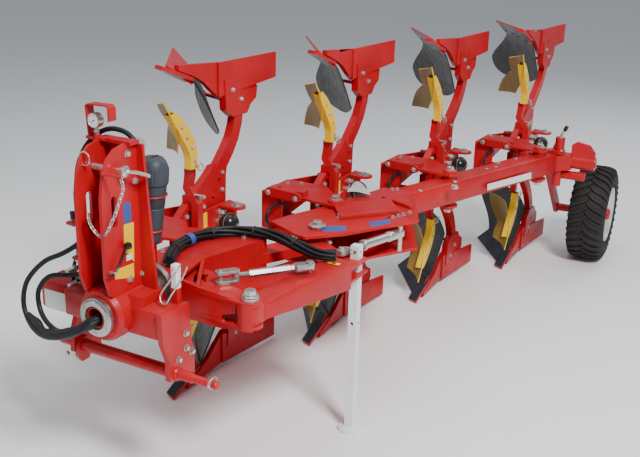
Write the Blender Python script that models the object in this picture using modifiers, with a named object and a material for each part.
"""Reversible moldboard plough with four pairs of bodies, standing parked on its lower bodies,
a parking stand and a depth wheel. Metres, +Z up, the tractor end towards -Y.

The shapes are laid out from the tip of the first lower share, and the empty "frame_origin"
then carries everything to the middle of the plough's outline on the ground."""

import math

import bmesh
import bpy
from mathutils import Matrix, Vector

# Driving dimensions.
MID_Z = 0.900               # height of the turnover axis and of the beam's mid-plane
BODY_PITCH = 1.000          # distance between two bodies along the beam
BEAM_ANGLE = 0.3055         # beam against the direction of travel
BODY_COUNT = 4
HITCH_X = 0.335             # centre line of the headstock
BEAM_WIDTH = 0.146
BEAM_HEIGHT = 0.140
BEAM_OFFSET = 0.310         # beam centre line, sideways from the line of share tips
BEAM_START_Y = 0.95
BEAM_END_Y = 2.80
FRONT_PLATE_THICKNESS = 0.014
WHEEL_RADIUS = 0.371
WHEEL_WIDTH = 0.286
WHEEL_YAW = 0.044
WHEEL_CENTRE = (1.420, 3.537)
WHEEL_PIVOT = (1.320, 2.930)
WHEEL_SHAFT_RADIUS = 0.030
ARM_PIVOT = (0.845, -0.480)
FRAME_PIVOT = (0.660, 0.420)
FRAME_PIN_RADIUS = 0.025
BODY_PIVOT = (0.263, -0.150)   # a body's hinge on the beam, from its lower share tip
BODY_PIN_RADIUS = 0.022
TURNOVER_RADIUS = 0.069        # turnover shaft in its housing
TURNOVER_Y = -0.690
HITCH_AXLE_Z = 0.648
HITCH_AXLE_HALF = 0.490        # half the distance over the two hitch pins
PIN_WIDTH_RADIUS = 0.018
STAND_PLACE = (0.971, 0.254)
STAND_SIDE = 0.045
CARRIER_TOP = 1.010            # upper face of a carrier's top plate
CARRIER_PLATE = 0.014
HOSE_RADIUS = 0.011
GAP = 0.0003                   # space left between two separate pieces that touch
RUNNING = 1.03                 # a many-sided bore against the many-sided pin that turns in it
ORIGIN_SHIFT = (-0.526, -1.484, 0.0)

# Paint, metal, plastic and rubber: colour, roughness, metallic.
FINISH = {
    "red": ((0.46, 0.045, 0.045), 0.35, 0.0),
    "slate": ((0.035, 0.036, 0.042), 0.45, 0.3),
    "yellow": ((0.78, 0.55, 0.03), 0.40, 0.0),
    "black": ((0.018, 0.018, 0.020), 0.45, 0.0),
    "zinc": ((0.62, 0.64, 0.66), 0.35, 0.9),
    "galvanised": ((0.60, 0.62, 0.64), 0.45, 0.8),
    "case": ((0.085, 0.095, 0.115), 0.50, 0.0),
    "rim": ((0.55, 0.56, 0.58), 0.35, 0.6),
    "tyre": ((0.030, 0.029, 0.028), 0.85, 0.0),
    "hose": ((0.020, 0.020, 0.022), 0.60, 0.0),
}


def clear_scene():
    for item in list(bpy.data.objects):
        bpy.data.objects.remove(item)


def new_collection(name, hidden):
    collection = bpy.data.collections.new(name)
    bpy.context.scene.collection.children.link(collection)
    collection.hide_render = hidden
    return collection


clear_scene()
PLOUGH = new_collection("reversible_plough", False)
HELPERS = new_collection("helper_solids", True)
TOOLS = {}
PIVOTS = {}


def material(name, finish):
    colour, roughness, metallic = FINISH[finish]
    made = bpy.data.materials.new(name + "_" + finish)
    made.use_nodes = True
    shader = made.node_tree.nodes["Principled BSDF"]
    shader.inputs["Base Color"].default_value = (*colour, 1.0)
    shader.inputs["Roughness"].default_value = roughness
    shader.inputs["Metallic"].default_value = metallic
    made.diffuse_color = (*colour, 1.0)
    return made


# Solids: each of these makes one helper object, which node() joins or cuts into a piece.
def helper(name, mesh):
    made = bpy.data.objects.new(name, mesh)
    HELPERS.objects.link(made)
    made.hide_render = True
    made.display_type = "WIRE"
    return made


def from_bmesh(name, edit, smooth=False):
    mesh = bpy.data.meshes.new(name)
    bmesh.ops.recalc_face_normals(edit, faces=edit.faces)
    edit.to_mesh(mesh)
    edit.free()
    if smooth:
        mesh.shade_smooth()
        mesh.set_sharp_from_angle(angle=math.radians(35))
    return helper(name, mesh)


def box(low, high):
    edit = bmesh.new()
    bmesh.ops.create_cube(edit, size=1.0)
    bmesh.ops.scale(edit, vec=Vector(high) - Vector(low), verts=edit.verts)
    bmesh.ops.translate(edit, vec=(Vector(high) + Vector(low)) / 2, verts=edit.verts)
    return from_bmesh("box", edit)


def turn_to(direction):
    return Vector(direction).to_track_quat("Z", "Y").to_matrix().to_4x4()


def rod(start, end, radius, sides=12):
    """A round bar between two points."""
    edit = bmesh.new()
    length = (Vector(end) - Vector(start)).length
    bmesh.ops.create_cone(edit, cap_ends=True, segments=sides, radius1=radius, radius2=radius, depth=length)
    made = from_bmesh("rod", edit, True)
    middle = (Vector(start) + Vector(end)) / 2
    made.matrix_basis = Matrix.Translation(middle) @ turn_to(Vector(end) - Vector(start))
    return made


def screwed(profile, closed, origin, direction, sides):
    """A profile of (distance along the axis, radius) turned by a Screw modifier."""
    mesh = bpy.data.meshes.new("turned")
    count = len(profile)
    edges = [(i, i + 1) for i in range(count - 1)]
    if closed:
        edges.append((count - 1, 0))
    mesh.from_pydata([(radius, 0.0, distance) for distance, radius in profile], edges, [])
    made = helper("turned", mesh)
    made.matrix_basis = Matrix.Translation(Vector(origin)) @ turn_to(direction)
    screw = made.modifiers.new("turn", "SCREW")
    screw.axis = "Z"
    screw.steps = sides
    screw.render_steps = sides
    screw.use_merge_vertices = True
    screw.merge_threshold = 0.00001
    screw.use_smooth_shade = True
    return made


def turned(origin, direction, profile, sides=16):
    """A turned solid, its profile given from the first end to the last."""
    outline = list(reversed(profile))
    if outline[0][1] > 0.0:
        outline.insert(0, (outline[0][0], 0.0))
    if outline[-1][1] > 0.0:
        outline.append((outline[-1][0], 0.0))
    return screwed(outline, False, origin, direction, sides)


def ring(origin, direction, profile, sides=20):
    """A turned ring: a closed profile that stays clear of the axis."""
    area = 0.0
    for (z0, r0), (z1, r1) in zip(profile, profile[1:] + profile[:1]):
        area += r0 * z1 - r1 * z0
    outline = list(reversed(profile)) if area > 0 else list(profile)
    return screwed(outline, True, origin, direction, sides)


def meshed(shape, matrix):
    """A curve's solid as a mesh with welded caps, placed by the matrix."""
    HELPERS.objects.link(shape)
    bpy.context.view_layer.update()
    graph = bpy.context.evaluated_depsgraph_get()
    mesh = bpy.data.meshes.new_from_object(shape.evaluated_get(graph))
    bpy.data.objects.remove(shape)
    edit = bmesh.new()
    edit.from_mesh(mesh)
    bmesh.ops.remove_doubles(edit, verts=edit.verts, dist=0.00001)
    bmesh.ops.recalc_face_normals(edit, faces=edit.faces)
    edit.to_mesh(mesh)
    edit.free()
    made = helper("shape", mesh)
    made.matrix_basis = matrix
    return made


PLATE_AXES = {
    "x": Matrix(((0, 0, 1), (1, 0, 0), (0, 1, 0))).to_4x4(),
    "y": Matrix(((1, 0, 0), (0, 0, -1), (0, 1, 0))).to_4x4(),
    "z": Matrix.Identity(4),
}


def plate(outline, low, high, axis):
    """A flat plate between two levels of an axis; its outline is in the other two, in X, Y, Z order."""
    curve = bpy.data.curves.new("outline", "CURVE")
    curve.dimensions = "2D"
    curve.fill_mode = "BOTH"
    curve.extrude = (high - low) / 2
    spline = curve.splines.new("POLY")
    spline.points.add(len(outline) - 1)
    for point, (across, up) in zip(spline.points, outline):
        point.co = (across, up, 0.0, 1.0)
    spline.use_cyclic_u = True
    middle = Vector((0.0, 0.0, 0.0))
    middle["xyz".index(axis)] = (low + high) / 2
    matrix = Matrix.Translation(middle) @ PLATE_AXES[axis]
    return meshed(bpy.data.objects.new("outline", curve), matrix)


def tube(path, radius, resolution=2):
    """A round bar along a path of points."""
    curve = bpy.data.curves.new("route", "CURVE")
    curve.dimensions = "3D"
    curve.bevel_depth = radius
    curve.bevel_resolution = resolution
    curve.use_fill_caps = True
    spline = curve.splines.new("POLY")
    spline.points.add(len(path) - 1)
    for point, place in zip(spline.points, path):
        point.co = (*place, 1.0)
    made = meshed(bpy.data.objects.new("route", curve), Matrix.Identity(4))
    made.data.shade_smooth()
    made.data.set_sharp_from_angle(angle=math.radians(50))
    return made


def loft(sections):
    """A bar through unlike sections, each a list of as many corners."""
    edit = bmesh.new()
    rings = [[edit.verts.new(corner) for corner in section] for section in sections]
    count = len(sections[0])
    for first, second in zip(rings, rings[1:]):
        for i in range(count):
            j = (i + 1) % count
            edit.faces.new((first[i], first[j], second[j], second[i]))
    edit.faces.new(rings[0])
    edit.faces.new(rings[-1])
    return from_bmesh("loft", edit)


def flat_bar(path, width, height, side):
    """A four-sided bar along a path; side is the direction of its width."""
    sections = []
    for i, here in enumerate(path):
        before = Vector(path[max(i - 1, 0)])
        after = Vector(path[min(i + 1, len(path) - 1)])
        along = (after - before).normalized()
        across = Vector(side)
        across = (across - along * across.dot(along)).normalized() * width / 2
        up = along.cross(across).normalized() * height / 2
        centre = Vector(here)
        sections.append([centre - across - up, centre + across - up, centre + across + up, centre - across + up])
    return loft(sections)


def shell(rows, thickness, towards):
    """A curved plate: an open surface through rows of points, thickened by Solidify towards a side."""
    edit = bmesh.new()
    grid = [[edit.verts.new(point) for point in row] for row in rows]
    for upper_row, lower_row in zip(grid, grid[1:]):
        for i in range(len(upper_row) - 1):
            edit.faces.new((upper_row[i], upper_row[i + 1], lower_row[i + 1], lower_row[i]))
    edit.normal_update()
    facing = sum((face.normal.dot(Vector(towards)) for face in edit.faces), 0.0)
    if facing < 0:
        bmesh.ops.reverse_faces(edit, faces=edit.faces)
    mesh = bpy.data.meshes.new("shell")
    edit.to_mesh(mesh)
    edit.free()
    mesh.shade_smooth()
    made = helper("shell", mesh)
    thicken = made.modifiers.new("thickness", "SOLIDIFY")
    thicken.thickness = thickness
    thicken.offset = 1.0
    return made


def placed(solid, matrix):
    solid.matrix_basis = matrix @ solid.matrix_basis
    return solid


def frame_at(origin, along, up=(0, 0, 1)):
    """A local frame with X along a direction and Z near up."""
    first = Vector(along).normalized()
    second = Vector(up).cross(first).normalized()
    third = first.cross(second)
    turn = Matrix((first, second, third)).transposed().to_4x4()
    return Matrix.Translation(Vector(origin)) @ turn


def rounded(solid, width, segments=2):
    bevel = solid.modifiers.new("rounded", "BEVEL")
    bevel.width = width
    bevel.segments = segments
    bevel.limit_method = "ANGLE"
    bevel.angle_limit = math.radians(40)
    return solid


def assembled(name, solids, cuts):
    """The first solid, joined by the others, less the cuts."""
    piece = solids[0]
    piece.name = name
    TOOLS[name] = []
    steps = [("UNION", solid) for solid in solids[1:]] + [("DIFFERENCE", solid) for solid in cuts]
    for index, (operation, tool) in enumerate(steps):
        tool.name = name + "_tool_%02d" % index
        TOOLS[name].append(tool)
        step = piece.modifiers.new(operation.lower() + "_%02d" % index, "BOOLEAN")
        step.operation = operation
        step.solver = "EXACT"
        step.object = tool
    return piece


def node(name, finish, solids, cuts=()):
    """One piece of the plough in its own place."""
    piece = assembled(name, solids, cuts)
    HELPERS.objects.unlink(piece)
    PLOUGH.objects.link(piece)
    piece.hide_render = False
    piece.display_type = "TEXTURED"
    piece.data.materials.append(material(name, finish))
    return piece


REPEATED = []


def repeated(kind, finish, solids, cuts=(), sides=("lower", "upper"), bodies=range(BODY_COUNT)):
    """A piece made once at a body's own origin, to be copied to the bodies, upside down for the upper ones."""
    assembled(kind + "_pattern", solids, cuts)
    REPEATED.append((kind, finish, sides, list(bodies)))


def copy_repeated():
    bpy.context.view_layer.update()
    graph = bpy.context.evaluated_depsgraph_get()
    for kind, finish, sides, bodies in REPEATED:
        pattern = bpy.data.objects[kind + "_pattern"]
        mesh = bpy.data.meshes.new_from_object(pattern.evaluated_get(graph))
        mesh.transform(pattern.matrix_world)
        mesh.name = kind
        mesh.materials.clear()
        mesh.materials.append(None)
        for index in bodies:
            for side in sides:
                name = "_".join(word for word in (kind, side, str(index + 1)) if word)
                piece = bpy.data.objects.new(name, mesh)
                PLOUGH.objects.link(piece)
                x0, y0 = tip_of(index)
                piece.location = (x0, y0, 2 * MID_Z if side == "upper" else 0.0)
                piece.scale = (1.0, 1.0, -1.0 if side == "upper" else 1.0)
                piece.material_slots[0].link = "OBJECT"
                piece.material_slots[0].material = material(name, finish)
                TOOLS[name] = []


def arc(centre, radius, start, end, count):
    """Points of an arc, angles in degrees."""
    found = []
    for i in range(count + 1):
        angle = math.radians(start + (end - start) * i / count)
        found.append((centre[0] + radius * math.cos(angle), centre[1] + radius * math.sin(angle)))
    return found


def capsule(first, second, radius, count=3):
    """The outline of a bar with two round ends."""
    heading = math.degrees(math.atan2(second[1] - first[1], second[0] - first[0]))
    outline = arc(second, radius, heading - 90, heading + 90, count)
    return outline + arc(first, radius, heading + 90, heading + 270, count)


def smooth_path(points, count):
    """Evenly numbered points of a smooth curve through the given ones."""
    found = []
    spans = len(points) - 1
    for i in range(count + 1):
        place = spans * i / count
        k = min(int(place), spans - 1)
        t = place - k
        p0, p1, p2, p3 = (Vector(points[min(max(k + d, 0), spans)]) for d in (-1, 0, 1, 2))
        found.append(0.5 * (2 * p1 + (p2 - p0) * t + (2 * p0 - 5 * p1 + 4 * p2 - p3) * t * t
                            + (3 * p1 - p0 - 3 * p2 + p3) * t ** 3))
    return found


def tip_of(index):
    return (index * BODY_PITCH * math.sin(BEAM_ANGLE), index * BODY_PITCH * math.cos(BEAM_ANGLE))


def beam_x(y):
    return y * math.tan(BEAM_ANGLE) + BEAM_OFFSET


def mirrored(level):
    return 2 * MID_Z - level


# Headstock: hitch frame with the turnover housing, top-link tower, cross shaft, valve box.
def build_headstock():
    side = [(-0.780, 0.945), (-0.595, 0.938), (-0.583, 0.761), (-0.566, 0.713), (-0.566, 0.600)]
    side += [(-0.640, 0.592), (-0.735, 0.625), (-0.735, 0.714), (-0.773, 0.811)]
    far_side = [(-0.700, 0.945), (-0.595, 0.938), (-0.583, 0.761), (-0.566, 0.713), (-0.566, 0.600)]
    far_side += [(-0.640, 0.592), (-0.735, 0.625), (-0.735, 0.714), (-0.700, 0.800)]
    axis_point = (HITCH_X, -0.835, MID_Z)
    solids = [rounded(box((0.075, -0.770, 0.820), (0.592, -0.640, 0.944)), 0.010)]
    solids.append(plate(side, 0.589, 0.614, "x"))
    solids.append(plate(far_side, 0.056, 0.081, "x"))
    solids.append(turned(axis_point, (0, 1, 0), [(0.0, 0.105), (0.02, 0.118), (0.245, 0.118)], 24))
    rib = [(-0.770, 0.930), (-0.600, 0.930), (-0.612, 0.985), (-0.750, 0.985)]
    solids.append(plate(rib, 0.250, 0.500, "x"))
    solids.append(box((0.560, -0.640, 0.930), (0.588, -0.612, 1.110)))
    solids.append(plate(capsule((-0.690, 0.648), (-0.690, 0.610), 0.042), 0.081, 0.100, "x"))
    bore = rod((HITCH_X, -0.900, MID_Z), (HITCH_X, -0.400, MID_Z), TURNOVER_RADIUS * RUNNING, 24)
    axle_hole = rod((0.0, -0.690, HITCH_AXLE_Z), (0.700, -0.690, HITCH_AXLE_Z), 0.0283, 16)
    node("headstock", "red", solids, [bore, axle_hole])
    half = HITCH_AXLE_HALF
    end, pin = PIN_WIDTH_RADIUS - 0.004, PIN_WIDTH_RADIUS
    profile = [(0.0, end), (0.006, pin), (0.120, pin), (0.128, 0.023), (0.200, 0.023), (0.206, 0.0280)]
    profile += [(2 * half - distance, radius) for distance, radius in reversed(profile)]
    node("hitch_axle", "red", [turned((HITCH_X - half, -0.690, HITCH_AXLE_Z), (1, 0, 0), profile, 16)])
    build_tower()
    node("valve_box", "red", [rounded(box((-0.112, -0.722, 0.800), (0.0557, -0.580, 0.930)), 0.008)])


def build_tower():
    foot = 0.985 + GAP
    outline = [(-0.748, foot), (-0.612, foot), (-0.640, 1.610), (-0.710, 1.612)]
    outline += [(-0.770, 1.600), (-0.815, 1.565), (-0.845, 1.500), (-0.860, 1.420), (-0.860, 1.080)]
    outline += [(-0.835, 1.000), (-0.800, foot)]
    solids = [plate(outline, 0.262, 0.277, "x"), plate(outline, 0.393, 0.408, "x")]
    back = [(-0.655, foot + 0.002), (-0.619, foot + 0.002), (-0.646, 1.604), (-0.657, 1.604)]
    solids.append(plate(back, 0.270, 0.400, "x"))
    flange = [(0.385, foot + 0.001), (0.485, foot + 0.001), (0.438, 1.600), (0.385, 1.600)]
    solids.append(plate(flange, -0.645, -0.631, "y"))
    solids.append(box((0.250, -0.700, 1.603), (0.425, -0.644, 1.618)))
    solids.append(box((0.140, -0.790, 1.2503), (0.270, -0.740, 1.2620)))
    solids.append(box((0.140, -0.770, 1.0903), (0.270, -0.720, 1.1020)))
    solids.append(box((0.370, -0.642, 1.4500), (0.412, -0.580, 1.4640)))
    strap = [(0.222, -0.690, 1.612), (0.212, -0.690, 1.744), (0.225, -0.690, 1.750), (0.318, -0.690, 1.752)]
    strap += [(0.330, -0.690, 1.742), (0.330, -0.690, 1.690)]
    solids.append(flat_bar(strap, 0.045, 0.006, (0, 1, 0)))
    solids.append(box((0.205, -0.712, 1.608), (0.300, -0.668, 1.620)))
    stem = turned((0.262, -0.707, 1.598), (0, 0, 1), [(0.0, 0.012), (0.034, 0.012), (0.040, 0.008)], 10)
    solids.append(stem)
    pin_hole = rod((0.200, -0.755, 1.513), (0.500, -0.755, 1.513), 0.0145, 12)
    slot = plate(capsule((-0.790, 1.300), (-0.790, 1.400), 0.016, 4), 0.2, 0.5, "x")
    room = rod((HITCH_X, -0.900, MID_Z), (HITCH_X, -0.400, MID_Z), 0.118 + GAP, 24)
    node("top_link_tower", "red", solids, [pin_hole, slot, room])
    pin = [rod((0.240, -0.755, 1.513), (0.445, -0.755, 1.513), 0.0142, 12)]
    pin.append(rod((0.438, -0.755, 1.513), (0.470, -0.640, 1.510), 0.010, 10))
    pin.append(rod((0.432, -0.755, 1.513), (0.450, -0.755, 1.513), 0.024, 16))
    node("top_link_pin", "zinc", pin)
    dial = turned((0.262, -0.725, 1.690), (0, 1, 0), [(0.0, 0.026), (0.005, 0.031), (0.035, 0.031)], 24)
    neck = rod((0.262, -0.707, 1.638 + GAP), (0.262, -0.707, 1.670), 0.008, 10)
    node("pressure_gauge", "zinc", [dial, neck])


# Turnover group: hollow shaft, console, arm, front turnbuckle, stand and tool case.
def build_console():
    profile = [(0.0, 0.072), (0.004, 0.083), (0.0265, 0.085), (0.0265, TURNOVER_RADIUS)]
    profile += [(0.330, TURNOVER_RADIUS), (0.330, 0.145), (0.355, 0.145), (0.355, 0.046), (0.0, 0.046)]
    node("turnover_shaft", "zinc", [ring((HITCH_X, -0.8625, MID_Z), (0, 1, 0), profile, 24)])
    top, low = 1.000, 0.800
    top_plan = [(0.190, -0.490), (0.500, -0.490), (0.455, -0.270), (0.556, 0.105), (0.420, 0.160), (0.250, 0.070)]
    solids = [plate(top_plan, top - 0.015, top, "z"), plate(top_plan, low, low + 0.015, "z")]
    near_wall = [(0.425, -0.285), (0.455, -0.290), (0.556, 0.105), (0.538, 0.118)]
    solids.append(plate(near_wall, low, top, "z"))
    far_wall = [(0.190, -0.490), (0.206, -0.490), (0.268, 0.060), (0.250, 0.070)]
    solids.append(plate(far_wall, low, top, "z"))
    solids.append(box((0.190, -0.507, low), (0.500, -0.480, top)))
    solids.append(plate([(0.250, 0.050), (0.540, 0.080), (0.556, 0.105), (0.410, 0.165)], low, top, "z"))
    tongue = [(0.400, 0.060), (0.545, 0.060), (0.712, 0.400)] + arc(FRAME_PIVOT, 0.056, -20, 160, 10)
    solids.append(plate(tongue, 0.875, 0.925, "z"))
    solids.extend(console_horn(low, top))
    pin_hole = rod((*FRAME_PIVOT, 0.7), (*FRAME_PIVOT, 1.1), FRAME_PIN_RADIUS * RUNNING, 24)
    shaft_room = rod((HITCH_X, -0.560, MID_Z), (HITCH_X, -0.400, MID_Z), 0.060, 20)
    node("turnover_console", "red", solids, [pin_hole, shaft_room] + console_windows())


HORN_ROOT = (0.590, -0.500)
CHEEK_END = (0.447, -0.262)


def console_horn(low, top):
    """The cast horn that reaches from the console's front corner to the arm's pivot."""
    horn = [(0.430, -0.285), (0.480, -0.507), (0.590, -0.517), (0.700, -0.520)]
    horn += arc(ARM_PIVOT, 0.055, -100, 60, 8) + [(0.700, -0.400), (0.520, -0.300)]
    solids = [plate(horn, 0.9443, 0.960, "z"), plate(horn, 0.840, 0.8557, "z")]
    front = [(0.480, low + 0.02), (0.552, 0.815), (0.729, 0.812), (0.795, 0.828), (0.795, 0.959), (0.712, 0.966)]
    front += [(0.600, 0.975), (0.480, 0.995)]
    solids.append(plate(front, -0.516, -0.500, "y"))
    lip = arc(ARM_PIVOT, 0.058, -155, -46, 6) + arc(ARM_PIVOT, 0.047, -46, -155, 6)
    solids.append(plate(lip, 0.836, 0.957, "z"))
    along = Vector((*CHEEK_END, 0.0)) - Vector((*HORN_ROOT, 0.0))
    cheek = [(0.0, 0.830), (0.0, 0.976), (0.100, 0.990), (along.length, top - 0.002), (along.length, low + 0.01)]
    solids.append(placed(plate(cheek, -0.008, 0.008, "y"), frame_at((*HORN_ROOT, 0.0), along)))
    solids.append(rod((*ARM_PIVOT, 0.832), (*ARM_PIVOT, 0.972), 0.022, 16))
    solids.append(rod((*ARM_PIVOT, 0.971), (*ARM_PIVOT, 0.978), 0.032, 16))
    solids.append(plate([(0.640, -0.505), (0.690, -0.505), (0.660, -0.380), (0.610, -0.370)], 0.850, 0.950, "z"))
    solids.append(box((0.330, -0.480, 0.990), (0.346, -0.465, 1.1200)))
    solids.append(box((0.300, -0.535, 1.1180), (0.376, -0.462, 1.1270)))
    return solids


def console_windows():
    cavity = plate(capsule((0.740, 0.862), (0.800, 0.880), 0.018, 5), -0.540, -0.490, "y")
    opening = [(0.050, 0.880), (0.060, 0.955), (0.140, 0.975), (0.200, 0.935), (0.140, 0.880)]
    along = Vector((*CHEEK_END, 0.0)) - Vector((*HORN_ROOT, 0.0))
    window = placed(plate(opening, -0.030, 0.030, "y"), frame_at((*HORN_ROOT, 0.0), along))
    return [cavity, window]


def build_arm():
    sections = []
    for near, far, low in (((0.890, -0.440), (0.776, -0.420), 0.860), ((0.935, -0.243), (0.820, -0.225), 0.846),
                           ((1.018, 0.120), (0.898, 0.150), 0.830)):
        sections.append([(*near, low), (*near, mirrored(low)), (*far, mirrored(low)), (*far, low)])
    solids = [rounded(loft(sections), 0.008)]
    solids.append(plate(capsule(ARM_PIVOT, (0.840, -0.400), 0.045, 8), 0.8560, 0.9440, "z"))
    link = [(0.850, 0.100), (1.016, 0.119), (1.016, 0.290), (0.940, 0.300), (0.880, 0.280), (0.720, 0.400)]
    link += arc(FRAME_PIVOT, 0.060, 0, 180, 10) + [(0.610, 0.360)]
    solids += [plate(link, 0.9253, 0.938, "z"), plate(link, 0.862, 0.8747, "z")]
    solids.append(box((0.945, 0.100, 0.850), (0.990, 0.200, 0.937)))
    eye_hole = rod((*ARM_PIVOT, 0.8), (*ARM_PIVOT, 1.0), 0.022 + 0.001, 16)
    pin_hole = rod((*FRAME_PIVOT, 0.7), (*FRAME_PIVOT, 1.1), FRAME_PIN_RADIUS * RUNNING, 24)
    half = STAND_SIDE / 2 + GAP
    x, y = STAND_PLACE
    stand_hole = box((x - half, y - half, 0.7), (x + half, y + half, 1.1))
    node("front_arm", "red", solids, [eye_hole, pin_hole, stand_hole])


def build_turnbuckles():
    first, last = Vector((0.640, -0.405, 0.9905)), Vector((0.905, -0.085, 0.9960))
    length = (last - first).length
    local = frame_at(first, last - first)
    fork = capsule((0.0, 0.0), (0.070, 0.0), 0.022, 5)
    parts = [plate(fork, -0.030, -0.014, "z"), plate(fork, 0.014, 0.030, "z")]
    parts.append(box((0.060, -0.020, -0.030), (0.085, 0.020, 0.030)))
    parts.append(rod((0.075, 0, 0), (length - 0.03, 0, 0), 0.0125, 12))
    parts.append(rounded(box((0.130, -0.019, -0.019), (length - 0.09, 0.019, 0.019)), 0.004))
    parts.append(plate(capsule((length - 0.055, 0.0), (length, 0.0), 0.024, 5), -0.014, 0.014, "z"))
    parts.append(rod((0, 0, -0.0302), (0, 0, 0.036), 0.011, 12))
    parts = [placed(part, local) for part in parts]
    parts.append(rod((*last[:2], 0.9618), (*last[:2], 1.018), 0.011, 12))
    node("front_turnbuckle", "zinc", parts)
    first, last = Vector((0.905, 0.220, 0.9646)), Vector((0.987, 0.730, 0.9300))
    length = (last - first).length
    local = frame_at(first, last - first)
    stem = [plate(capsule((0.0, 0.0), (0.05, 0.0), 0.024, 5), -0.014, 0.014, "z")]
    stem.append(rod((0.04, 0, 0), (0.310, 0, 0), 0.0130, 12))
    node("rear_turnbuckle_rod", "zinc", [placed(part, local) for part in stem])
    bore = 0.0133
    profile = [(0.0, 0.027), (0.250, 0.027), (0.250, bore), (0.0, bore)]
    parts = [ring((0.175, 0, 0), (1, 0, 0), profile, 12)]
    parts.append(turned((0.415, 0, 0), (1, 0, 0), [(0.0, 0.0275), (0.012, 0.0275), (0.040, 0.018)], 12))
    parts.append(plate(capsule((length - 0.09, 0.0), (length, 0.0), 0.024, 5), -0.016, 0.016, "z"))
    parts = [placed(part, local) for part in parts]
    parts.append(rod((0.987, 0.730, 0.831 + GAP), (0.987, 0.730, 0.969 - GAP), 0.014, 12))
    node("rear_turnbuckle_tube", "zinc", parts)


def build_stand():
    x, y = STAND_PLACE
    half = STAND_SIDE / 2
    leg = rounded(box((x - half, y - half, 0.012), (x + half, y + half, 1.005)), 0.004, 1)
    profile = [(0.0, 0.060), (0.006, 0.0625), (0.014, 0.0625), (0.022, 0.045)]
    node("parking_stand", "galvanised", [leg, turned((x, y, 0.0), (0, 0, 1), profile, 20)])


def build_tool_case():
    base, top = Vector((0.338, -0.500, 1.130)), Vector((0.362, -0.500, 1.515))
    profile = [(0.0, 0.038), (0.006, 0.042), (0.265, 0.059), (0.268, 0.064), (0.335, 0.066)]
    profile += [(0.352, 0.062), (0.385, 0.040), (0.388, 0.0)]
    node("tool_case", "case", [turned(base, top - base, profile, 20)])


# One body pair: carrier, two legs with frog and landside, two boards, two skimmers, accumulator.
def carrier_solids(plan):
    top, thick = CARRIER_TOP, CARRIER_PLATE
    solids = [plate(plan, top - thick, top, "z"), plate(plan, mirrored(top), mirrored(top) + thick, "z")]
    far = [(-0.185, mirrored(top)), (-0.185, top), (0.110, top - 0.005), (0.640, 0.930)]
    far += [(0.640, mirrored(0.930)), (0.110, mirrored(top - 0.005))]
    solids.append(plate(far, -0.200, -0.184, "x"))
    near = [(0.262, 0.800), (0.545, 0.800), (0.600, 0.850), (0.600, 0.950), (0.545, 1.000), (0.262, 1.000)]
    solids.append(plate(near, 0.028, 0.044, "x"))
    solids.append(box((-0.190, -0.185, 0.800), (-0.066, -0.170, 1.000)))
    solids.append(box((-0.190, 0.556, 0.850), (0.030, 0.576, 0.950)))
    ear = [(0.034, 0.430)] + arc((0.126, 0.480), 0.050, -90, 90, 5) + [(0.034, 0.543)]
    link = capsule((-0.130, 1.023), (0.048, 1.012), 0.026, 4)
    for flip in (False, True):
        level = mirrored if flip else float
        solids.append(plate(ear, *sorted((level(0.985), level(0.999))), "z"))
        solids.append(plate([(x, level(z)) for x, z in link], -0.222, -0.194, "y"))
        for x, z in ((-0.130, 1.023), (0.048, 1.012)):
            solids.append(rod((x, -0.229, level(z)), (x, -0.150, level(z)), 0.013, 6))
            lug = sorted((level(1.000), level(1.040)))
            solids.append(box((x - 0.022, -0.187, lug[0]), (x + 0.022, -0.120, lug[1])))
    return solids


def build_carriers():
    front = [(-0.200, -0.185), (0.068, -0.190)]
    rear = [(0.140, 0.020), (0.070, 0.100), (-0.200, 0.100)]
    plan = front + arc(BODY_PIVOT, 0.062, -105, 100, 6) + rear
    solids = carrier_solids(plan)
    solids.append(rod((*BODY_PIVOT, 0.780), (*BODY_PIVOT, 1.020), BODY_PIN_RADIUS, 16))
    repeated("carrier", "red", solids, (), ("",), range(1, BODY_COUNT))
    plan = front + [(0.180, -0.160), (0.2250, -0.160), (0.2474, 0.050)] + rear
    node("carrier_1", "red", carrier_solids(plan))


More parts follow.
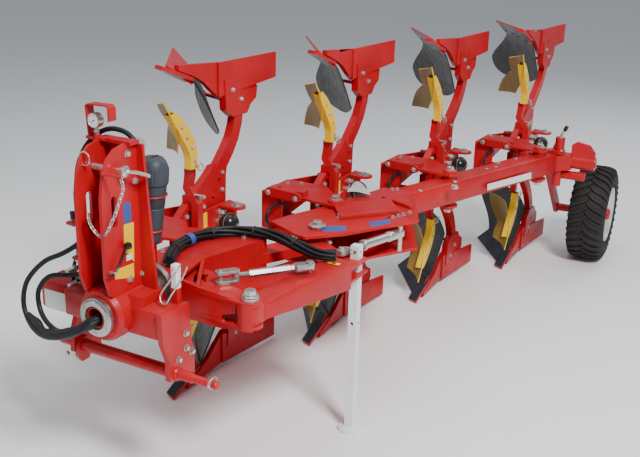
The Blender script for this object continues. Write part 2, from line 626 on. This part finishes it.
def build_legs():
    head = [(0.100, 0.893), (0.100, 0.830), (0.254, 0.716), (0.403, 0.622), (0.440, 0.590), (0.575, 0.590)]
    head += [(0.558, 0.660), (0.553, 0.800), (0.530, 0.893)]
    solids = [plate(head, -0.042, 0.002, "x")]
    centres = [(0.485, 0.650, -0.020), (0.520, 0.600, -0.016), (0.570, 0.530, -0.006), (0.606, 0.460, 0.005)]
    centres += [(0.624, 0.380, 0.016), (0.628, 0.280, 0.026)]
    sections = []
    for i, (y, z, x) in enumerate(centres):
        before, after = centres[max(i - 1, 0)], centres[min(i + 1, len(centres) - 1)]
        along = Vector((after[0] - before[0], after[1] - before[1])).normalized()
        width = 0.043 - 0.001 * i
        across_y, across_z = -along.y * width, along.x * width
        thick = 0.023
        sections.append([(x - thick, y - across_y, z - across_z), (x + thick, y - across_y, z - across_z),
                         (x + thick, y + across_y, z + across_z), (x - thick, y + across_y, z + across_z)])
    solids.append(loft(sections))
    gusset = [(0.490, 0.130), (0.740, 0.130), (0.800, 0.200), (0.790, 0.262), (0.735, 0.290), (0.700, 0.335)]
    gusset += [(0.560, 0.335), (0.500, 0.290)]
    solids.append(plate(gusset, 0.006, 0.050, "x"))
    cheek = [(0.130, 0.012), (0.520, 0.040), (0.520, 0.230), (0.470, 0.225), (0.400, 0.175), (0.330, 0.120)]
    cheek += [(0.250, 0.080), (0.130, 0.038)]
    solids.append(plate(cheek, 0.002, 0.030, "x"))
    landside = [(0.0, 0.035), (0.497, 0.025), (0.497, 0.165), (0.0, 0.215)]
    local = frame_at((0.0325, 0.450, 0.0), (0.042, 0.495, 0.0))
    solids.append(placed(plate(landside, -0.007, 0.007, "y"), local))
    stem = [(-0.012, 0.252, 0.5553), (-0.012, 0.252, 0.600), (-0.020, 0.245, 0.665), (0.050, 0.225, 0.740)]
    stem.append((0.050, 0.222, 0.888))
    solids.append(flat_bar(stem, 0.044, 0.044, (1, 0, 0)))
    solids.append(box((-0.036, 0.2105, 0.7015), (0.0515, 0.3005, 0.7815)))
    solids.append(rod((-0.184 + GAP, 0.450, 0.845), (0.028 - GAP, 0.450, 0.845), 0.020, 12))
    holes = []
    for y, z in ((0.494, 0.681), (0.433, 0.769)):
        holes.append(rod((-0.060, y, z), (0.030, y, z), 0.012, 6))
    repeated("leg", "red", solids, holes)


# The board's outline: at each station from the shin to the tail, its lower and upper edge.
BOARD_LOW = [(0.00, 0.118), (0.20, 0.108), (0.40, 0.100), (0.60, 0.090), (0.75, 0.112), (0.88, 0.155),
             (0.96, 0.215), (1.00, 0.280)]
BOARD_TOP = [(0.00, 0.393), (0.15, 0.440), (0.30, 0.457), (0.60, 0.456), (0.75, 0.448), (0.88, 0.420),
             (0.96, 0.375), (1.00, 0.330)]
BOARD_FOOT = [(0.00, Vector((0.010, 0.240))), (0.60, Vector((-0.385, 0.645))), (1.00, Vector((-0.560, 0.900)))]
SHIN_TOP, TAIL_TOP = Vector((0.040, 0.472)), Vector((-0.500, 1.000))
BOARD_BASE, BOARD_RISE, BOARD_HOLLOW = 0.100, 0.360, 0.020


def between(table, place):
    for (x0, v0), (x1, v1) in zip(table, table[1:]):
        if place <= x1:
            return v0 + (v1 - v0) * (place - x0) / (x1 - x0)
    return table[-1][1]


def board_point(station, level):
    """A point of the board's front face: it stands steep at the share and rolls back to the crown."""
    share = max(min((level - BOARD_BASE) / BOARD_RISE, 1.0), 0.0)
    high = SHIN_TOP.lerp(TAIL_TOP, station)
    plan = between(BOARD_FOOT, station).lerp(high, share ** 0.75)
    hollow = BOARD_HOLLOW * math.sin(math.pi * station) * math.sin(math.pi * share ** 0.6)
    return (plan.x + hollow * 0.7, plan.y + hollow * 0.7, level)


def build_boards():
    rows = []
    stations = [0.0, 0.12, 0.28, 0.45, 0.62, 0.77, 0.88, 0.95, 1.0]
    levels = 5
    for step in range(levels + 1):
        row = []
        for station in stations:
            low, top = between(BOARD_LOW, station), between(BOARD_TOP, station)
            row.append(board_point(station, low + (top - low) * step / levels))
        rows.append(row)
    solids = [shell(rows, 0.009, (0.62, 0.75, -0.12))]
    share_low = []
    share_high = []
    for step in range(5):
        t = step / 4
        share_low.append((-0.380 * t, 0.060 + 0.540 * t, 0.012 - 0.003 * t))
        share_high.append((0.014 - 0.395 * t, 0.250 + 0.404 * t, 0.134 - 0.030 * t))
    solids.append(shell([share_low, share_high], 0.010, (0.35, 0.45, -0.80)))
    point = [[(-0.040, 0.030, 0.0), (0.026, 0.0, 0.0)], [(-0.045, 0.270, 0.100), (0.026, 0.250, 0.086)]]
    solids.append(shell(point, 0.020, (0.15, 0.30, 0.90)))
    seat = [(0.006 - GAP, 0.430), (0.006 - GAP, 0.550)]
    for station in (0.31, 0.20, 0.075):
        x, y, _ = board_point(station, 0.250)
        seat.append((x + 0.0036, y + 0.0043))
    solids.append(plate(seat, 0.2385, 0.2635, "z"))
    repeated("moldboard", "slate", solids)


def build_skimmers():
    edges = [((-0.098, 0.107, 0.214), (0.039, -0.016, 0.171)), ((-0.100, 0.145, 0.268), (0.038, 0.036, 0.245)),
             ((-0.092, 0.180, 0.318), (0.030, 0.080, 0.310)), ((-0.120, 0.222, 0.338), (0.018, 0.112, 0.350)),
             ((-0.175, 0.280, 0.385), (-0.002, 0.142, 0.395)), ((-0.210, 0.318, 0.445), (-0.028, 0.172, 0.440)),
             ((-0.225, 0.331, 0.500), (-0.050, 0.195, 0.480))]
    rows = []
    columns = 4
    for first, last in edges:
        row = []
        for step in range(columns + 1):
            t = step / columns
            bulge = 0.018 * math.sin(math.pi * t)
            spot = Vector(first).lerp(Vector(last), t)
            row.append((spot.x + bulge * 0.7, spot.y + bulge * 0.7, spot.z))
        rows.append(row)
    bracket = [(0.095, 0.270), (0.140, 0.238), (0.185, 0.246), (0.230, 0.300), (0.262, 0.375), (0.272, 0.425)]
    bracket += [(0.248, 0.460), (0.264, 0.555), (0.148, 0.555), (0.138, 0.460), (0.122, 0.420)]
    repeated("skimmer", "yellow", [shell(rows, 0.007, (0.62, 0.75, 0.1)), plate(bracket, -0.012, 0.034, "x")])


def build_accumulators():
    profile = [(0.0, 0.018), (0.026, 0.018), (0.028, 0.028), (0.036, 0.040), (0.050, 0.052), (0.066, 0.0565)]
    profile += [(0.086, 0.0565), (0.104, 0.050), (0.118, 0.038), (0.128, 0.020), (0.131, 0.0)]
    ball = turned((0.044 + GAP, 0.412, 0.916), (1, 0, 0), profile, 12)
    repeated("accumulator", "black", [ball], (), ("",))


# Main frame: front plates, beam, and the wheel gear at its end.
def build_frame():
    half = BEAM_WIDTH / 2 / math.cos(BEAM_ANGLE)
    low, high = MID_Z - BEAM_HEIGHT / 2, MID_Z + BEAM_HEIGHT / 2
    plan = [(beam_x(BEAM_START_Y) - half, BEAM_START_Y), (beam_x(BEAM_START_Y) + half, BEAM_START_Y)]
    plan += [(beam_x(BEAM_END_Y) + half, BEAM_END_Y), (beam_x(BEAM_END_Y) - half, BEAM_END_Y)]
    solids = [rounded(plate(plan, low, high, "z"), 0.012)]
    holes = []
    for index in range(1, BODY_COUNT):
        x0, y0 = tip_of(index)
        centre = (x0 + BODY_PIVOT[0], y0 + BODY_PIVOT[1])
        reach = CARRIER_TOP - CARRIER_PLATE - GAP
        solids.append(rod((*centre, mirrored(reach)), (*centre, reach), 0.045, 16))
        holes.append(rod((*centre, 0.7), (*centre, 1.1), BODY_PIN_RADIUS * 1.06, 16))
    rear_y = 1.300
    plates = [(0.402, 0.389), (0.600, 0.290), (0.677, 0.268), (0.820, 0.433), (1.049, 0.831)]
    plates += [(beam_x(rear_y) + half + 0.02, rear_y), (beam_x(rear_y) - half - 0.02, rear_y)]
    plates += [(0.525, 0.807), (0.423, 0.525)]
    thick = FRONT_PLATE_THICKNESS
    solids += [plate(plates, high - 0.001, high + thick, "z"), plate(plates, low - thick, low + 0.001, "z")]
    solids.append(plate([(0.500, 0.640), (0.600, 0.640), (0.700, 0.900), (0.560, 0.900)], low, high, "z"))
    holes.append(rod((*FRAME_PIVOT, 0.7), (*FRAME_PIVOT, 1.1), FRAME_PIN_RADIUS + GAP, 24))
    slot = [(0.835, 0.640), (0.905, 0.790), (0.940, 0.900), (0.880, 0.860)]
    holes.append(plate(slot, high - 0.010, high + 0.1, "z"))
    node("main_beam", "red", solids, holes)
    head = 0.032
    pin = [(0.0, head), (0.0147, head), (0.0147, FRAME_PIN_RADIUS), (0.1853, FRAME_PIN_RADIUS), (0.1853, head)]
    node("frame_pivot_pin", "zinc", [turned((*FRAME_PIVOT, 0.800), (0, 0, 1), pin + [(0.200, head)], 24)])


def build_wheel_gear():
    heading = Vector((math.cos(WHEEL_YAW), math.sin(WHEEL_YAW), 0.0))
    local = frame_at((*WHEEL_PIVOT, MID_Z), heading)
    hub = local.inverted() @ Vector((*WHEEL_CENTRE, WHEEL_RADIUS))
    half = BEAM_WIDTH / 2 / math.cos(BEAM_ANGLE)
    end_y = BEAM_END_Y + GAP
    plan = [(beam_x(end_y) - half, end_y), (beam_x(end_y) + half, end_y), (1.350, 2.880), (1.350, 2.960)]
    plan += [(1.225, 2.960), (1.225, 2.880)]
    solids = [plate(plan, 0.845, 0.955, "z")]
    solids.append(placed(rod((-0.110, 0, 0), (0.190, 0, 0), 0.050, 24), local))
    top = [(0.020, 0.030), (0.020, 0.125), (0.055, 0.150), (0.145, 0.132), (0.186, 0.080), (0.186, 0.030)]
    solids.append(placed(plate(top, -0.030, 0.000, "y"), local))
    solids.append(rod((1.262, 2.875, 0.725), (1.262, 2.875, 1.075), 0.034, 16))
    solids.append(box((1.180, 2.820, 0.960), (1.300, 2.900, 0.985)))
    solids.append(placed(rod((-0.080, -0.012, -0.100), (0.130, -0.012, -0.100), 0.032, 16), local))
    solids.append(placed(box((-0.050, -0.025, -0.100), (0.010, 0.000, -0.045)), local))
    bore = placed(rod((-0.3, 0, 0), (0.3, 0, 0), WHEEL_SHAFT_RADIUS * RUNNING, 24), local)
    node("wheel_bracket", "red", solids, [bore])
    side, thick = -0.172, 0.030
    shaft = rod((side + 0.010, 0, 0), (0.196, 0, 0), WHEEL_SHAFT_RADIUS, 24)
    blade = plate(capsule((0.0, 0.0), (hub.y, hub.z), 0.045, 8), side, side + thick, "x")
    axle = rod((side + 0.010, hub.y, hub.z), (hub.x + 0.049, hub.y, hub.z), 0.0300, 16)
    node("wheel_arm", "red", [placed(part, local) for part in (blade, shaft, axle)])
    build_wheel(heading)


def build_wheel(heading):
    hub = Vector((*WHEEL_CENTRE, WHEEL_RADIUS))
    r, w = WHEEL_RADIUS, WHEEL_WIDTH / 2
    seat = r * 0.555
    half_tread = [(w * 0.45, r), (w * 0.80, r * 0.965), (w * 0.95, r * 0.90), (w, r * 0.82), (w * 0.97, r * 0.68)]
    half_tread += [(w * 0.80, r * 0.575), (w * 0.70, seat)]
    tread = [(-z, radius) for z, radius in reversed(half_tread)] + half_tread
    node("tire", "tyre", [ring(hub, heading, tread, 32)])
    bead = r * 0.575 - 0.001
    rim = [(-w * 0.86, bead), (-w * 0.72, seat - 0.001), (w * 0.72, seat - 0.001), (w * 0.86, bead)]
    rim += [(w * 0.90, bead), (w * 0.90, r * 0.545), (w * 0.70, r * 0.50), (w * 0.45, r * 0.46)]
    rim += [(w * 0.25, r * 0.42), (w * 0.20, 0.075), (w * 0.42, 0.060), (w * 0.42, 0.0310), (-0.060, 0.0310)]
    rim += [(-0.060, 0.060), (w * 0.12, 0.075), (w * 0.15, r * 0.42), (-w * 0.30, r * 0.50)]
    rim += [(-w * 0.90, r * 0.545), (-w * 0.90, bead)]
    cap_profile = [(0.0, 0.045), (0.040, 0.042), (0.052, 0.028), (0.055, 0.0)]
    cap = turned(hub + heading * (w * 0.42 - 0.010), heading, cap_profile, 20)
    node("wheel_rim", "rim", [ring(hub, heading, rim, 24), cap])


# Hydraulic hoses: three loops from the hollow shaft to the tower, and the bundle over the console.
HOSE_ROUTES = {
    "hose_outer": [(0.352, -0.800, 0.890), (0.340, -0.880, 0.884), (0.290, -0.925, 0.850), (0.180, -0.930, 0.800),
                   (0.060, -0.905, 0.775), (-0.040, -0.870, 0.800), (-0.085, -0.850, 0.875), (-0.060, -0.840, 0.975),
                   (0.025, -0.820, 1.070), (0.115, -0.790, 1.120), (0.180, -0.765, 1.170), (0.188, -0.765, 1.210), (0.188, -0.765, 1.250)],
    "hose_inner": [(0.318, -0.800, 0.892), (0.314, -0.866, 0.884), (0.268, -0.893, 0.848), (0.160, -0.885, 0.806),
                   (0.070, -0.862, 0.808), (0.000, -0.838, 0.850), (-0.018, -0.822, 0.930), (0.030, -0.800, 0.998),
                   (0.110, -0.765, 1.010), (0.160, -0.748, 1.022), (0.178, -0.745, 1.048), (0.178, -0.745, 1.069), (0.178, -0.745, 1.090)],
    "hose_upper": [(0.200, -0.765, 1.2623), (0.200, -0.765, 1.290), (0.196, -0.763, 1.330), (0.178, -0.750, 1.395), (0.160, -0.725, 1.470),
                   (0.168, -0.690, 1.550), (0.208, -0.652, 1.614), (0.270, -0.628, 1.641), (0.335, -0.608, 1.625),
                   (0.378, -0.601, 1.575), (0.390, -0.600, 1.515), (0.390, -0.600, 1.490), (0.390, -0.600, 1.4643)],
}
BUNDLE_RADIUS = 0.030
BUNDLE_ROUTE = [(0.402, -0.454, 1.0296), (0.340, -0.350, 1.0296), (0.302, -0.240, 1.0296), (0.305, -0.120, 1.0296),
                (0.345, -0.020, 1.0296), (0.420, 0.055, 1.0296), (0.520, 0.092, 1.0296), (0.640, 0.094, 1.026),
                (0.760, 0.070, 1.012), (0.870, 0.060, 0.9996), (0.945, 0.090, 0.9996)]


def build_hoses():
    for name, route in HOSE_ROUTES.items():
        node(name, "hose", [tube(smooth_path(route, 24), HOSE_RADIUS)])
    node("hose_bundle", "hose", [tube(smooth_path(BUNDLE_ROUTE, 20), BUNDLE_RADIUS, 3)])


def carry(name, pivot, pieces, parent):
    """An empty on the joint's axis that carries the pieces turning or sliding there."""
    empty = bpy.data.objects.new(name, None)
    empty.empty_display_size = 0.1
    PLOUGH.objects.link(empty)
    empty.location = Vector(pivot) - PIVOTS[parent]
    if parent:
        empty.parent = bpy.data.objects[parent]
    PIVOTS[name] = Vector(pivot)
    for piece_name in pieces:
        for item in [bpy.data.objects[piece_name]] + TOOLS[piece_name]:
            item.parent = empty
            item.location = item.location - Vector(pivot)


def group_of(number):
    names = ["carrier_%d" % number, "accumulator_%d" % number]
    for kind in ("leg", "moldboard", "skimmer"):
        names += ["%s_%s_%d" % (kind, side, number) for side in ("lower", "upper")]
    return names


def carry_all():
    PIVOTS[""] = -Vector(ORIGIN_SHIFT)
    fixed = ["main_beam", "frame_pivot_pin", "wheel_bracket"]
    carry("frame_origin", (0.0, 0.0, 0.0), fixed, "")
    console = ["turnover_console", "turnover_shaft", "front_arm", "front_turnbuckle", "tool_case", "hose_bundle"]
    carry("working_width_axis", (*FRAME_PIVOT, MID_Z), console + group_of(1), "frame_origin")
    head = ["headstock", "hitch_axle", "top_link_tower", "top_link_pin", "pressure_gauge", "valve_box"]
    carry("turnover_axis", (HITCH_X, TURNOVER_Y, MID_Z), head + list(HOSE_ROUTES), "working_width_axis")
    carry("stand_axis", (*STAND_PLACE, 0.0), ["parking_stand"], "working_width_axis")
    for number in range(2, BODY_COUNT + 1):
        x0, y0 = tip_of(number - 1)
        pivot = (x0 + BODY_PIVOT[0], y0 + BODY_PIVOT[1], MID_Z)
        carry("body_axis_%d" % number, pivot, group_of(number), "frame_origin")
    carry("rear_turnbuckle_axis", (0.987, 0.730, 0.930), ["rear_turnbuckle_tube"], "frame_origin")
    carry("rear_turnbuckle_slide", (0.905, 0.220, 0.9646), ["rear_turnbuckle_rod"], "rear_turnbuckle_axis")
    carry("wheel_swing_axis", (*WHEEL_PIVOT, MID_Z), ["wheel_arm"], "frame_origin")
    carry("wheel_axis", (*WHEEL_CENTRE, WHEEL_RADIUS), ["tire", "wheel_rim"], "wheel_swing_axis")


build_headstock()
build_console()
build_arm()
build_turnbuckles()
build_stand()
build_tool_case()
build_carriers()
build_legs()
build_boards()
build_skimmers()
build_accumulators()
build_frame()
build_wheel_gear()
build_hoses()
copy_repeated()
carry_all()
